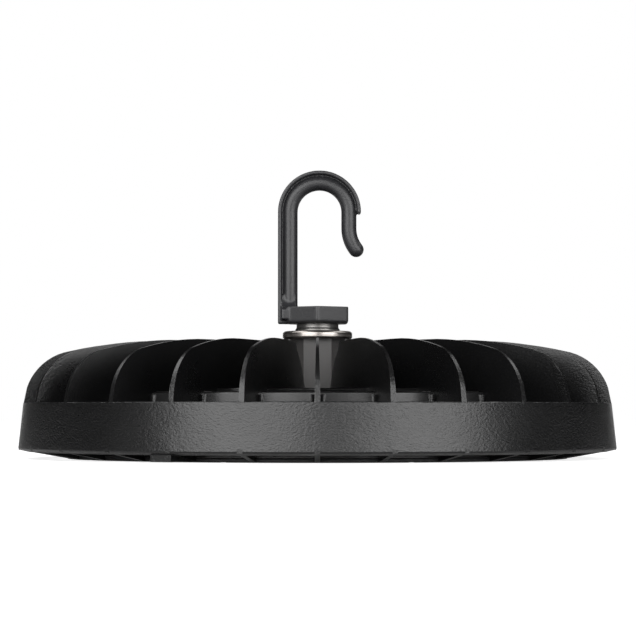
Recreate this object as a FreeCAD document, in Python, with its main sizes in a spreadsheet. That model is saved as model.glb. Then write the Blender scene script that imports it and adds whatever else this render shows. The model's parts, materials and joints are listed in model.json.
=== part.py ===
import FreeCAD, Part
import os
import re
import Sketcher

# Round slim LED high bay light: a die-cast finned housing with a lens and LED module underneath,
# a driver chamber inside its drum, and a moulded hook screwed into the hub on top.
# Millimetres, +Z up.  The origin is the centre of the lower face, the front is towards -Y and
# the hook's plane is the XZ plane.

SIZES = [
    # ring band round the fins
    ("rim_radius", 150.0, "outer radius of the ring band at its lower edge"),
    ("ring_draft", 2.3, "radius lost from the lower to the upper edge of the band"),
    ("ring_base", 4.4, "height of the band's lower outer edge"),
    ("ring_height", 23.3, "height of the band"),
    ("ring_wall", 4.8, "thickness of the band"),
    ("ring_round", 1.0, "rounding of the band's outer edges"),
    # fins
    ("fin_count", 27, "radial fins"),
    ("fin_foot_width", 2.4, "fin thickness at its lower edge"),
    ("fin_root_width", 2.7, "fin thickness at the parting line"),
    ("fin_tip_width", 1.1, "fin thickness at its highest point"),
    ("fin_setback", 0.1, "fin edge inside the band's outer face"),
    ("fin_peak", 58.0, "height of the fins' top edge"),
    ("fin_peak_radius", 79.0, "radius at which the top edge is highest"),
    ("fin_brow_radius", 124.9, "radius where the crown turns into the shoulder"),
    ("fin_brow_drop", 4.6, "how far the crown has fallen there"),
    ("fin_shoulder_radius", 146.0, "radius where the shoulder turns into the outer edge"),
    ("fin_shoulder_height", 35.4, "height of that point"),
    ("fin_nose_radius", 46.2, "inner end of the fins near their top"),
    ("fin_nose_round", 4.6, "rounding of the inner end"),
    ("fin_heel_radius", 32.0, "inner end of the fins at the roof"),
    ("fin_foot_lift", 0.3, "height of the fins' lower edge at the drum"),
    ("fin_foot_rise", 3.8, "rise of the fins' lower edge from drum to band"),
    ("root_fillet", 3.2, "fillet between fins and walls"),
    # drum, roof and hub
    ("drum_radius", 121.3, "outer radius of the drum wall"),
    ("drum_shoulder", 32.3, "height of the drum's rounded upper edge"),
    ("drum_round", 0.8, "rounding of that edge"),
    ("drum_bore", 111.3, "radius of the driver chamber"),
    ("chamber_round", 3.0, "fillet under the roof"),
    ("foot_radius", 126.4, "outer radius of the drum's foot"),
    ("foot_height", 12.4, "height of the foot above its lower face"),
    ("roof_top", 34.2, "height of the roof's upper face"),
    ("roof_wall", 2.9, "thickness of the roof"),
    ("roof_step_radius", 106.0, "radius of the step round the roof"),
    ("hub_radius", 11.4, "radius of the hub's round core"),
    ("hub_flats", 24.2, "hub column, across flats"),
    ("hub_top", 59.9, "height of the hub's seat"),
    ("hub_fillet", 3.0, "fillet at the hub's base"),
    # bosses and lug cast with the housing
    ("post_circle", 78.3, "radius of the circle of posts"),
    ("post_turn", -42.5, "angle of the first post from the front"),
    ("post_radius", 2.45, "radius of a post"),
    ("post_height", 9.7, "height of a post above the roof"),
    ("pillar_radius", 5.0, "radius of a pillar under the roof"),
    ("pillar_thread", 1.65, "radius of the tapped hole in a pillar"),
    ("pillar_depth", 14.0, "depth of that hole"),
    ("lug_turn", -29.0, "angle of the cast lug from the front"),
    ("lug_width", 11.0, "width of the lug"),
    ("lug_wall", 3.6, "thickness of the lug"),
    ("lug_lift", 0.4, "height of the lug's lower face above the rest plane"),
    ("lug_bore", 2.6, "radius of the hole in the lug"),
    # lens stack
    ("bezel_wall", 1.6, "thickness of the lens ring"),
    ("bezel_inset", 0.5, "lens ring's edge inside the foot"),
    ("bezel_opening", 112.6, "inner radius of the lens ring"),
    ("seat_radius", 120.0, "radius of the lens seat in the foot"),
    ("lens_wall", 2.0, "wall of the lens plate"),
    ("lens_lift", 2.4, "height of the lens plate's centre above its flange"),
    ("lens_clearance", 0.3, "gap round the lens plate"),
    ("gasket_wall", 1.5, "thickness of the gasket once clamped"),
    ("lenslet_radius", 11.0, "radius of a lenslet"),
    ("lenslet_depth", 3.2, "depth of a lenslet"),
    ("lenslet_flat", 5.0, "radius of a lenslet's flat end"),
    ("inner_circle", 36.0, "radius of the inner circle of lenslets"),
    ("inner_count", 8, "lenslets on it"),
    ("middle_circle", 66.0, "radius of the middle circle"),
    ("middle_count", 14, "lenslets on it"),
    ("outer_circle", 96.0, "radius of the outer circle"),
    ("outer_count", 20, "lenslets on it"),
    ("bezel_screw_circle", 123.2, "radius of the circle of lens ring screws"),
    ("bezel_screw_count", 9, "lens ring screws"),
    ("bezel_screw_turn", 20.0, "angle of the first of them from the front"),
    ("bezel_screw_radius", 1.45, "radius of their shanks"),
    ("bezel_head_radius", 2.5, "radius of their countersunk heads"),
    ("bezel_head_depth", 1.2, "depth of the countersink"),
    ("bezel_screw_length", 9.0, "their length"),
    # LED module
    ("module_height", 13.2, "height of the step that the carrier seats on"),
    ("module_bore", 116.3, "radius of the bore round the carrier"),
    ("carrier_wall", 3.0, "thickness of the carrier plate"),
    ("carrier_clearance", 0.4, "gap round the carrier plate"),
    ("board_radius", 109.0, "radius of the LED board"),
    ("board_wall", 1.6, "thickness of the LED board"),
    ("chip_side", 5.0, "side of an LED package"),
    ("chip_height", 0.7, "height of an LED package"),
    ("board_screw_circle", 51.0, "radius of the circle of board screws"),
    ("board_screw_count", 6, "board screws"),
    ("small_screw_radius", 1.5, "radius of an M3 shank"),
    ("small_head_radius", 2.75, "radius of an M3 pan head"),
    ("small_head_height", 1.6, "height of an M3 pan head"),
    ("carrier_screw_radius", 2.0, "radius of an M4 shank"),
    ("carrier_head_radius", 3.8, "radius of an M4 pan head"),
    ("carrier_head_height", 2.4, "height of an M4 pan head"),
    ("carrier_screw_length", 13.0, "length of an M4 screw"),
    ("screw_clearance", 0.3, "radial clearance of a through hole"),
    ("lead_hole_radius", 4.0, "radius of the hole for the LED leads"),
    ("lead_turn", 40.0, "angle of that hole from the front"),
    ("lead_radius", 0.8, "radius of a lead"),
    ("lead_spread", 1.6, "half the distance between the two leads"),
    ("lead_bend", 2.0, "radius of their bend under the board"),
    ("lead_tail", 4.0, "how far their ends lie beyond the hole's edge"),
    # driver
    ("tray_left", -45.0, "driver tray, left side"),
    ("tray_front", -86.0, "driver tray, front side"),
    ("tray_length", 104.0, "driver tray, along X"),
    ("tray_width", 56.0, "driver tray, along Y"),
    ("tray_height", 15.0, "driver tray, along Z"),
    ("tray_wall", 1.6, "wall of the driver tray"),
    ("tab_length", 9.0, "length of a tray tab"),
    ("tab_width", 12.0, "width of a tray tab"),
    ("pad_wall", 0.8, "thickness of the thermal pad"),
    ("circuit_wall", 1.6, "thickness of the driver's circuit board"),
    ("circuit_gap", 0.5, "gap round that board"),
    ("circuit_drop", 1.5, "board's lower face above the tray's rim"),
    ("pad_inset", 4.0, "thermal pad's edge inside the tray's"),
    ("core_along", 38.0, "transformer's place along the board"),
    ("core_across", 14.0, "transformer's place across the board"),
    ("core_length", 22.0, "transformer core, along X"),
    ("core_width", 24.0, "transformer core, along Y"),
    ("core_height", 9.0, "transformer core, height"),
    ("winding_overhang", 3.0, "how far the winding stands out of the core"),
    ("winding_width", 14.0, "transformer winding, along Y"),
    ("winding_height", 7.5, "transformer winding, height"),
    ("choke_along", 18.0, "choke's place along the board"),
    ("choke_across", 38.0, "choke's place across the board"),
    ("choke_radius", 5.5, "radius of the choke's middle line"),
    ("choke_thickness", 3.5, "radius of the choke's wound ring"),
    ("can_along", 72.0, "capacitors' place along the board"),
    ("can_across", 9.0, "first capacitor's place across the board"),
    ("can_pitch", 11.0, "distance between capacitors"),
    ("can_radius", 4.6, "radius of a capacitor"),
    ("can_length", 20.0, "length of a capacitor"),
    ("block_along", 6.0, "terminal block's place along the board"),
    ("block_across", 4.0, "terminal block's place across the board"),
    ("block_length", 22.0, "terminal block, along X"),
    ("block_width", 12.0, "terminal block, along Y"),
    ("block_height", 9.0, "terminal block, height"),
    ("well_pitch", 7.0, "distance between its wells"),
    ("well_radius", 1.9, "radius of a well"),
    ("well_depth", 6.0, "depth of a well"),
    # hook fixing
    ("shank_radius", 6.0, "radius of the hook's threaded shank"),
    ("shank_clearance", 0.25, "gap round the shank"),
    ("shank_reach", 42.0, "length of the shank below the washer's lower face"),
    ("washer_radius", 17.6, "outer radius of the washer"),
    ("washer_wall", 4.0, "thickness of the washer"),
    ("washer_chamfer", 0.9, "chamfer of the washer"),
    ("collar_radius", 10.6, "radius of the collar"),
    ("collar_lip", 0.6, "how far the collar's lower lip stands out"),
    ("collar_height", 3.8, "height of the collar"),
    ("seal_radius", 8.2, "radius of the O-ring's centre line"),
    ("seal_cord", 0.75, "radius of the O-ring's section"),
    ("nut_flats", 18.0, "hook nut, across flats"),
    ("nut_height", 9.0, "hook nut, height"),
    # hook
    ("hex_flats", 31.0, "hook base, across flats"),
    ("hex_height", 8.4, "hook base, height"),
    ("hex_round", 1.6, "rounding of its upright edges"),
    ("hex_chamfer", 0.9, "chamfer of its lower edges"),
    ("bend_offset", 1.0, "centre of the hook's bend along X"),
    ("bend_height", 124.3, "height of the centre of the bend"),
    ("bend_radius", 14.9, "radius of the rod's centre line in the bend"),
    ("rod_radius", 3.85, "radius of the hook's rod"),
    ("rib_radius", 21.0, "outer radius of the back rib in the bend"),
    ("rib_wall", 1.8, "thickness of the back rib"),
    ("rib_width", 8.6, "width of the back rib"),
    ("web_wall", 3.0, "thickness of the web between rod and rib"),
    ("tail_drop", 8.2, "straight part of the tail below the bend's centre"),
    ("tail_radius", 17.4, "radius of the tail's outward bend"),
    ("tail_turn", 38.0, "angle of that bend"),
    ("ramp_height", 6.2, "height of the ramp between rod and base"),
    ("ramp_depth", 6.0, "how far the ramp reaches out from the rod"),
    # cable gland and breather
    ("gland_offset", 22.2, "gland axis behind the hub"),
    ("gland_flats", 17.0, "gland body and nut, across flats"),
    ("gland_boss_radius", 9.6, "radius of the boss under the gland"),
    ("gland_boss_height", 1.6, "height of that boss above the roof"),
    ("gland_thread", 6.0, "radius of the gland's thread"),
    ("gland_neck_radius", 6.6, "radius of its neck"),
    ("gland_hex_height", 5.0, "height of the gland body's hexagon"),
    ("gland_neck_height", 7.0, "height of its neck"),
    ("gland_nut_height", 11.0, "height of the gland nut"),
    ("gland_nut_lift", 1.2, "gap between the hexagon and the nut"),
    ("cable_radius", 3.4, "radius of the cable opening in the seal"),
    ("gland_throat", 5.2, "radius of the throat that holds the seal"),
    ("gland_seal_height", 9.0, "height of the seal"),
    ("vent_circle", 24.0, "distance of the breather from the axis"),
    ("vent_turn", 126.7, "angle of the breather from the front"),
    ("vent_radius", 6.0, "radius of the breather's cap"),
    ("vent_height", 5.0, "height of the cap"),
    ("vent_thread", 3.0, "radius of its thread"),
    ("vent_channel", 1.0, "radius of its air channel"),
    ("thread_fit", 0.05, "gap between a tapped hole and its screw"),
]

doc = FreeCAD.newDocument("HighBayLight")
sheet = doc.addObject("Spreadsheet::Sheet", "sizes")
for row, (alias, value, note) in enumerate(SIZES, start=1):
    sheet.set("A%d" % row, alias)
    sheet.set("B%d" % row, str(value))
    sheet.setAlias("B%d" % row, alias)
    sheet.set("C%d" % row, note)
gauge = doc.addObject("App::FeaturePython", "gauge")
gauge.addProperty("App::PropertyFloat", "Reading")
doc.recompute()

NODES = []

# Places that several pieces share, written over the sheet's cells.
RING_TOP = "ring_base + ring_height"
RING_TOP_RADIUS = "rim_radius - ring_draft"
ROOF_UNDER = "roof_top - roof_wall"
FOOT_FACE = "bezel_wall"
SEAT_FACE = "bezel_wall + lens_wall + gasket_wall"
BOARD_FACE = "module_height - carrier_wall - board_wall"
LENS_FACE = "bezel_wall + lens_lift"
WASHER_TOP = "hub_top + washer_wall"
HEX_BASE = "hub_top + washer_wall + collar_height"
HEX_TOP = HEX_BASE + " + hex_height"
GLAND_BASE = "roof_top + gland_boss_height"
TRAY_TOP = "roof_top - roof_wall - pad_wall"
TRAY_BASE = "roof_top - roof_wall - pad_wall - tray_height"
CIRCUIT_BASE = TRAY_BASE + " + circuit_drop"


# ---------------------------------------------------------------- helpers

def over_sheet(text):
    """An expression with every sheet alias written as a reference to its cell."""
    return re.sub(r"\b([a-z]+(?:_[a-z]+)+)\b", r"sizes.\1", str(text))


def reading(text):
    """What an expression over the sheet comes to now, as a starting place for the solver."""
    gauge.setExpression("Reading", over_sheet(text))
    gauge.recompute()
    return gauge.Reading


def bind(thing, **sizes):
    """Ties properties of an object to expressions over the sheet."""
    for name, text in sizes.items():
        thing.setExpression(name, over_sheet(text))


def new_body(label, node=True):
    body = doc.addObject("PartDesign::Body", label)
    body.Label = label
    body.AllowCompound = True
    if node:
        NODES.append(body)
    return body


def new_sketch(body, name, plane, lift="0", turn=None):
    """A sketch on one of the body's origin planes, lifted along its normal or turned about Z.

    A turn is an angle from the front.  It leads an XZ sketch's x axis out in that direction,
    and in an XY sketch it carries what is drawn at the front round to that place.
    """
    sketch = body.newObject("Sketcher::SketchObject", name)
    face = [item for item in body.Origin.OriginFeatures if item.Role == plane + "_Plane"][0]
    sketch.AttachmentSupport = [(face, "")]
    sketch.MapMode = "FlatFace"
    if turn is not None:
        upright = FreeCAD.Vector(0, 1, 0) if plane == "XZ" else FreeCAD.Vector(0, 0, 1)
        angle = "(%s) - 90" % turn if plane == "XZ" else turn
        sketch.AttachmentOffset = FreeCAD.Placement(
            FreeCAD.Vector(), FreeCAD.Rotation(upright, reading(angle)))
        sketch.setExpression("AttachmentOffset.Rotation.Angle", over_sheet("(%s) * 1 deg" % angle))
    sketch.setExpression("AttachmentOffset.Base.z", over_sheet(lift))
    return sketch


def fix_point(sketch, element, position, x, y):
    """Ties a point of the sketch to two expressions over the sheet."""
    for kind, text in (("DistanceX", x), ("DistanceY", y)):
        index = sketch.addConstraint(Sketcher.Constraint(kind, element, position, reading(text)))
        sketch.setExpression("Constraints[%d]" % index, over_sheet(text))


def ends_of(sketch, element, start):
    """The solver's numbers for an element's two ends, the one nearest to start first."""
    first = sketch.getPoint(element, 1).distanceToPoint(start)
    second = sketch.getPoint(element, 2).distanceToPoint(start)
    return (1, 2) if first <= second else (2, 1)


def draw(sketch, path, closed=True):
    """An outline through (x, y) corners; ("via", x, y) makes its stretch a round one."""
    corners, middles = [], {}
    for step in path:
        if step[0] == "via":
            middles[len(corners) - 1] = step[1:]
        else:
            corners.append(step)
    spots = [FreeCAD.Vector(reading(x), reading(y), 0) for x, y in corners]
    elements = []
    for index in range(len(spots) if closed else len(spots) - 1):
        spot, after = spots[index], spots[(index + 1) % len(spots)]
        if index in middles:
            middle = FreeCAD.Vector(reading(middles[index][0]), reading(middles[index][1]), 0)
            element = sketch.addGeometry(Part.Arc(spot, middle, after))
        else:
            element = sketch.addGeometry(Part.LineSegment(spot, after))
        start, end = ends_of(sketch, element, spot)
        fix_point(sketch, element, start, *corners[index])
        elements.append((element, start, end))
    for index, (element, start, end) in enumerate(elements):
        if closed or index + 1 < len(elements):
            following, next_start, next_end = elements[(index + 1) % len(elements)]
            join = Sketcher.Constraint("Coincident", element, end, following, next_start)
            sketch.addConstraint(join)
        else:
            fix_point(sketch, element, end, *corners[-1])
    for index, (x, y) in middles.items():
        spot = FreeCAD.Vector(reading(x), reading(y), 0)
        mark = sketch.addGeometry(Part.Point(spot), True)
        fix_point(sketch, mark, 1, x, y)
        sketch.addConstraint(Sketcher.Constraint("PointOnObject", mark, 1, elements[index][0]))


def draw_open(sketch, path):
    """A chain of lines and arcs through (x, y) corners, for a sweep to follow."""
    draw(sketch, path, closed=False)


def draw_circle(sketch, x, y, radius):
    centre = FreeCAD.Vector(reading(x), reading(y), 0)
    circle = Part.Circle(centre, FreeCAD.Vector(0, 0, 1), reading(radius))
    element = sketch.addGeometry(circle)
    fix_point(sketch, element, 3, x, y)
    index = sketch.addConstraint(Sketcher.Constraint("Radius", element, reading(radius)))
    sketch.setExpression("Constraints[%d]" % index, over_sheet(radius))


def draw_axis(sketch, x):
    """An upright construction line, which a turned feature takes as its axis."""
    low, high = FreeCAD.Vector(reading(x), 0, 0), FreeCAD.Vector(reading(x), 10, 0)
    element = sketch.addGeometry(Part.LineSegment(low, high), True)
    fix_point(sketch, element, 1, x, "0")
    fix_point(sketch, element, 2, x, "10")


def rectangle(left, front, length, width):
    """Corners of an upright rectangle, from expressions over the sheet."""
    right, back = "(%s) + (%s)" % (left, length), "(%s) + (%s)" % (front, width)
    return [(left, front), (right, front), (right, back), (left, back)]


def hexagon(flats, x="0", y="0", turn=0):
    """Corners of a hexagon; with no turn one of them points along X."""
    reach = "(%s) / 2 / cos(30 deg)" % flats
    return [("%s + %s * cos(%d deg)" % (x, reach, 60 * side + turn),
             "%s + %s * sin(%d deg)" % (y, reach, 60 * side + turn)) for side in range(6)]


def around(circle, turn):
    """The place at an angle from the front, positive towards +X, on a circle about the axis."""
    return ("%s * sin((%s) * 1 deg)" % (circle, turn), "-1 * %s * cos((%s) * 1 deg)" % (circle, turn))


def finish_feature(body, feature):
    doc.recompute()
    body.Tip = feature
    return feature


def add_turned(body, name, path, cut=False, axis_at=None, turn=None):
    """A Revolution, or a Groove, of an outline on the XZ plane, about Z or an axis beside it."""
    before = body.Tip.Shape.Volume if cut else 0
    sketch = new_sketch(body, name + "_outline", "XZ", turn=turn)
    draw(sketch, path)
    if axis_at is not None:
        draw_axis(sketch, axis_at)
    kind = "PartDesign::Groove" if cut else "PartDesign::Revolution"
    feature = body.newObject(kind, name)
    feature.Profile = sketch
    feature.ReferenceAxis = (sketch, ["V_Axis" if axis_at is None else "Axis0"])
    feature.Angle = 360
    finish_feature(body, feature)
    if cut and not feature.Shape.Volume < before:
        raise RuntimeError("%s cuts nothing" % name)
    return feature


def add_pad(body, name, sketch, length, **settings):
    pad = body.newObject("PartDesign::Pad", name)
    pad.Profile = sketch
    bind(pad, Length=length)
    for setting, value in settings.items():
        setattr(pad, setting, value)
    return finish_feature(body, pad)


def add_pocket(body, name, sketch, length, **settings):
    """A Pocket that has to take something away."""
    before = body.Tip.Shape.Volume
    pocket = body.newObject("PartDesign::Pocket", name)
    pocket.Profile = sketch
    bind(pocket, Length=length)
    for setting, value in settings.items():
        setattr(pocket, setting, value)
    finish_feature(body, pocket)
    if not pocket.Shape.Volume < before:
        raise RuntimeError("%s cuts nothing" % name)
    return pocket


def add_polar(body, name, originals, count):
    """Copies of some features about Z, or of the whole body as it stands if none are named."""
    pattern = body.newObject("PartDesign::PolarPattern", name)
    if originals is None:
        pattern.TransformMode = "Whole shape"
    else:
        pattern.Originals = originals
    axis = [item for item in body.Origin.OriginFeatures if item.Role == "Z_Axis"][0]
    pattern.Axis = (axis, [""])
    pattern.Angle = 360
    bind(pattern, Occurrences=count)
    return finish_feature(body, pattern)


def add_round_pad(body, name, place, radius, base, height, cut=False):
    """A cylinder, or a hole upwards from base, at one place."""
    sketch = new_sketch(body, name + "_outline", "XY", base)
    draw_circle(sketch, place[0], place[1], radius)
    if cut:
        return add_pocket(body, name, sketch, height, Reversed=True)
    return add_pad(body, name, sketch, height)


# ---------------------------------------------------------------- housing

def fin_section():
    """Cross-section of a fin: widest at the parting line, thinner towards foot and tip."""
    levels = [("0", "fin_foot_width"), (RING_TOP, "fin_root_width"), ("fin_peak", "fin_tip_width")]
    right = [("%s / 2" % width, level) for level, width in levels]
    left = [("-%s / 2" % width, level) for level, width in reversed(levels)]
    return right + left


def fin_trim():
    """What is turned away above, outside and inside the fins."""
    clear = "fin_peak + 10"
    beyond = "rim_radius + 10"
    edge = RING_TOP_RADIUS + " - fin_setback"
    inside = "roof_top - roof_wall / 2"
    brow = "fin_peak - fin_brow_drop"
    return [
        ("0", inside),
        ("fin_heel_radius", inside),
        ("fin_heel_radius", "roof_top"),
        ("via", "fin_heel_radius + 0.42 * (fin_nose_radius - fin_heel_radius)",
         "roof_top + 0.62 * (fin_peak - fin_nose_round - roof_top)"),
        ("fin_nose_radius", "fin_peak - fin_nose_round"),
        ("via", "fin_nose_radius + 0.3 * fin_nose_round", "fin_peak - 0.33 * fin_nose_round"),
        ("fin_nose_radius + fin_nose_round", "fin_peak - 0.4"),
        ("fin_peak_radius", "fin_peak"),
        ("via", "fin_peak_radius + 0.56 * (fin_brow_radius - fin_peak_radius)",
         "fin_peak - 0.24 * fin_brow_drop"),
        ("fin_brow_radius", brow),
        ("via", "fin_brow_radius + 0.71 * (fin_shoulder_radius - fin_brow_radius)",
         "fin_shoulder_height + 0.56 * (%s - fin_shoulder_height)" % brow),
        ("fin_shoulder_radius", "fin_shoulder_height"),
        (edge, RING_TOP),
        (edge, "ring_base + 2"),
        (beyond, "ring_base + 2"),
        (beyond, clear),
        ("0", clear),
    ]


def fin_undercut():
    """What is turned away below the fins and where drum and roof will stand."""
    foot_middle = "(foot_radius + seat_radius) / 2"
    wall_middle = "(drum_radius + module_bore) / 2"
    roof_middle = "roof_top - roof_wall / 2"
    inner_end = "foot_radius - bezel_inset / 2"
    beyond = "rim_radius + 10"
    slope = "fin_foot_rise / (%s - foot_radius)" % RING_TOP_RADIUS
    return [
        ("0", "-5"),
        (beyond, "-5"),
        (beyond, "fin_foot_lift + (%s - foot_radius) * %s" % (beyond, slope)),
        (inner_end, "fin_foot_lift"),
        (inner_end, "bezel_wall + 1"),
        (foot_middle, "bezel_wall + 1"),
        (foot_middle, "module_height"),
        (wall_middle, "module_height"),
        (wall_middle, roof_middle),
        ("0", roof_middle),
    ]


def root_outline(wall_radius, side):
    """Plan of the filleted root between one fin and a round wall; side is +1 outside it, -1 inside."""
    half = "fin_root_width / 2 * 0.96"
    middle_x = "(%s + root_fillet)" % half
    if side > 0:
        reach = "(%s + root_fillet)" % wall_radius
        backing = "(%s - 2)" % wall_radius
    else:
        reach = "(%s - root_fillet)" % wall_radius
        backing = "(%s + 1.6)" % wall_radius
    middle_y = "sqrt(%s * %s - %s * %s)" % (reach, reach, middle_x, middle_x)
    touch_x = "(%s * %s / %s)" % (middle_x, wall_radius, reach)
    touch_y = "(%s * %s / %s)" % (middle_y, wall_radius, reach)
    via_x = "(%s - root_fillet * 0.7660)" % middle_x
    via_y = "(%s %s root_fillet * 0.6428)" % (middle_y, "-" if side > 0 else "+")
    return [
        ("-" + touch_x, "-" + backing),
        ("-" + touch_x, "-" + touch_y),
        ("via", "-" + via_x, "-" + via_y),
        ("-(%s)" % half, "-" + middle_y),
        (half, "-" + middle_y),
        ("via", via_x, "-" + via_y),
        (touch_x, "-" + touch_y),
        (touch_x, "-" + backing),
    ]


def drum_outline():
    """Foot, wall, roof and hub of the drum in one turned section."""
    return [
        ("module_bore", SEAT_FACE),
        ("seat_radius", SEAT_FACE),
        ("seat_radius", FOOT_FACE),
        ("foot_radius - 0.6", FOOT_FACE),
        ("foot_radius", "bezel_wall + 0.6"),
        ("foot_radius", "bezel_wall + foot_height - 2"),
        ("drum_radius + 0.5", "bezel_wall + foot_height"),
        ("drum_radius", "drum_shoulder - drum_round"),
        ("via", "drum_radius - 0.293 * drum_round", "drum_shoulder - 0.293 * drum_round"),
        ("drum_radius - drum_round", "drum_shoulder"),
        ("roof_step_radius + 1.4", "drum_shoulder + 0.3"),
        ("via", "roof_step_radius + 0.4", "drum_shoulder + 0.7"),
        ("roof_step_radius", "roof_top - 0.5"),
        ("roof_step_radius - 0.5", "roof_top"),
        ("hub_radius + hub_fillet", "roof_top"),
        ("via", "hub_radius + 0.293 * hub_fillet", "roof_top + 0.293 * hub_fillet"),
        ("hub_radius", "roof_top + hub_fillet"),
        ("hub_radius", "hub_top - 0.5"),
        ("hub_radius - 0.5", "hub_top"),
        ("shank_radius + shank_clearance", "hub_top"),
        ("shank_radius + shank_clearance", ROOF_UNDER),
        ("drum_bore - chamber_round", ROOF_UNDER),
        ("via", "drum_bore - 0.293 * chamber_round", ROOF_UNDER + " - 0.293 * chamber_round"),
        ("drum_bore", ROOF_UNDER + " - chamber_round"),
        ("drum_bore", "module_height"),
        ("module_bore", "module_height"),
    ]


def ring_outline():
    """Drafted band with rounded outer edges and a lower face that slopes inwards."""
    inner = "rim_radius - ring_wall"
    return [
        (inner, "ring_base - 0.9"),
        ("rim_radius - ring_round", "ring_base - 0.05"),
        ("via", "rim_radius - 0.3 * ring_round", "ring_base + 0.3 * ring_round"),
        ("rim_radius", "ring_base + ring_round"),
        (RING_TOP_RADIUS, RING_TOP + " - ring_round * 0.6"),
        ("via", RING_TOP_RADIUS + " - 0.18 * ring_round", RING_TOP + " - 0.18 * ring_round"),
        (RING_TOP_RADIUS + " - ring_round * 0.6", RING_TOP),
        (inner + " - ring_draft / 2 + 0.5", RING_TOP),
        (inner + " - ring_draft / 2", RING_TOP + " - 0.5"),
    ]


def make_fins():
    """The ring of fins, cut to their outline on one fin and then copied round."""
    body = new_body("fins", node=False)
    section = new_sketch(body, "fin_section", "XZ")
    draw(section, fin_section())
    add_pad(body, "fin", section, "rim_radius")
    drum_root = new_sketch(body, "drum_root_outline", "XY", FOOT_FACE + " + 0.8")
    draw(drum_root, root_outline("drum_radius", 1))
    add_pad(body, "drum_root", drum_root, "drum_shoulder - drum_round - bezel_wall - 1.2")
    ring_root = new_sketch(body, "ring_root_outline", "XY", "ring_base + 0.4")
    draw(ring_root, root_outline("(rim_radius - ring_wall - ring_draft / 4)", -1))
    add_pad(body, "ring_root", ring_root, "ring_height - 1")
    add_turned(body, "fin_trim", fin_trim(), cut=True)
    add_turned(body, "fin_undercut", fin_undercut(), cut=True)
    add_polar(body, "fin_circle", None, "fin_count")
    return body


def make_housing():
    """One casting: drum, roof and hub, the band round it, bosses and holes, and the fins."""
    fins = make_fins()
    body = new_body("housing")
    add_turned(body, "drum", drum_outline())
    add_turned(body, "ring", ring_outline())
    add_hub_faces(body)
    add_lug(body)
    add_posts(body)
    add_bezel_holes(body)
    add_roof_openings(body)
    add_seal_groove(body)
    casting = body.newObject("PartDesign::Boolean", "casting")
    casting.Type = "Fuse"
    casting.Group = [fins]
    finish_feature(body, casting)


def add_hub_faces(body):
    """The hub's six flat faces, from the roof to the seat; the shank's hole stays open."""
    faces = new_sketch(body, "hub_outline", "XY", "roof_top - 0.5")
    draw(faces, hexagon("hub_flats", turn=0))
    draw_circle(faces, "0", "0", "hub_radius - 1")
    add_pad(body, "hub_faces", faces, "hub_top - roof_top + 0.5")


def add_posts(body):
    """Three pillars under the roof, tapped from below, each with a round-ended spigot above it."""
    roof_middle = "roof_top - roof_wall / 2"
    spigot_top = "roof_top + post_height"
    outside = "post_circle + post_radius"
    spigot = add_turned(body, "spigot", [
        ("post_circle", roof_middle),
        (outside, roof_middle),
        (outside, spigot_top + " - post_radius"),
        ("via", "post_circle + 0.7071 * post_radius", spigot_top + " - 0.2929 * post_radius"),
        ("post_circle", spigot_top),
    ], axis_at="post_circle", turn="post_turn")
    pillar = add_turned(body, "pillar", [
        ("post_circle", "module_height"),
        ("post_circle + pillar_radius - 0.5", "module_height"),
        ("post_circle + pillar_radius", roof_middle),
        ("post_circle", roof_middle),
    ], axis_at="post_circle", turn="post_turn")
    add_polar(body, "pillars", [spigot, pillar], "3")
    hole = add_turned(body, "pillar_hole", [
        ("post_circle", "module_height - 1"),
        ("post_circle + carrier_screw_radius + thread_fit", "module_height - 1"),
        ("post_circle + carrier_screw_radius + thread_fit", "module_height + pillar_depth - 1.5"),
        ("post_circle", "module_height + pillar_depth"),
    ], cut=True, axis_at="post_circle", turn="post_turn")
    add_polar(body, "pillar_holes", [hole], "3")


def add_bezel_holes(body):
    hole = add_turned(body, "bezel_hole", [
        ("bezel_screw_circle", "bezel_wall - 1"),
        ("bezel_screw_circle + bezel_screw_radius + thread_fit", "bezel_wall - 1"),
        ("bezel_screw_circle + bezel_screw_radius + thread_fit", "bezel_screw_length + 0.5"),
        ("bezel_screw_circle", "bezel_screw_length + 1.5"),
    ], cut=True, axis_at="bezel_screw_circle", turn="bezel_screw_turn")
    add_polar(body, "bezel_holes", [hole], "bezel_screw_count")


def add_lug(body):
    """A flat lug between drum and band, bored for a safety cable."""
    inner, outer = "foot_radius - bezel_inset / 2", "rim_radius - ring_wall + 1"
    plate = new_sketch(body, "lug_outline", "XY", "lug_lift", turn="lug_turn")
    draw(plate, rectangle("-1 * lug_width / 2", "-1 * (%s)" % outer,
                          "lug_width", "%s - (%s)" % (outer, inner)))
    add_pad(body, "lug", plate, "lug_wall")
    bore = new_sketch(body, "lug_bore_outline", "XY", "lug_lift - 1", turn="lug_turn")
    draw_circle(bore, "0", "-1 * (%s + (%s)) / 2" % (inner, outer), "lug_bore")
    add_pocket(body, "lug_hole", bore, "lug_wall + 2", Reversed=True)


def add_roof_openings(body):
    """The gland's tapped boss, the breather's tapped hole and the holes for the tray's screws."""
    gland_place = ("0", "gland_offset")
    add_round_pad(body, "gland_boss", gland_place, "gland_boss_radius", "roof_top - 1",
                  "gland_boss_height + 1")
    add_round_pad(body, "gland_hole", gland_place, "gland_thread + thread_fit",
                  ROOF_UNDER + " - 1", "roof_wall + gland_boss_height + 2", cut=True)
    add_round_pad(body, "vent_hole", around("vent_circle", "vent_turn"),
                  "vent_thread + thread_fit", ROOF_UNDER + " - 1", "roof_wall + 2", cut=True)
    for side, place in zip(("left", "right"), tray_screw_places()):
        add_round_pad(body, "tray_hole_" + side, place, "small_screw_radius + thread_fit",
                      ROOF_UNDER + " - 1", "roof_wall", cut=True)


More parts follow.
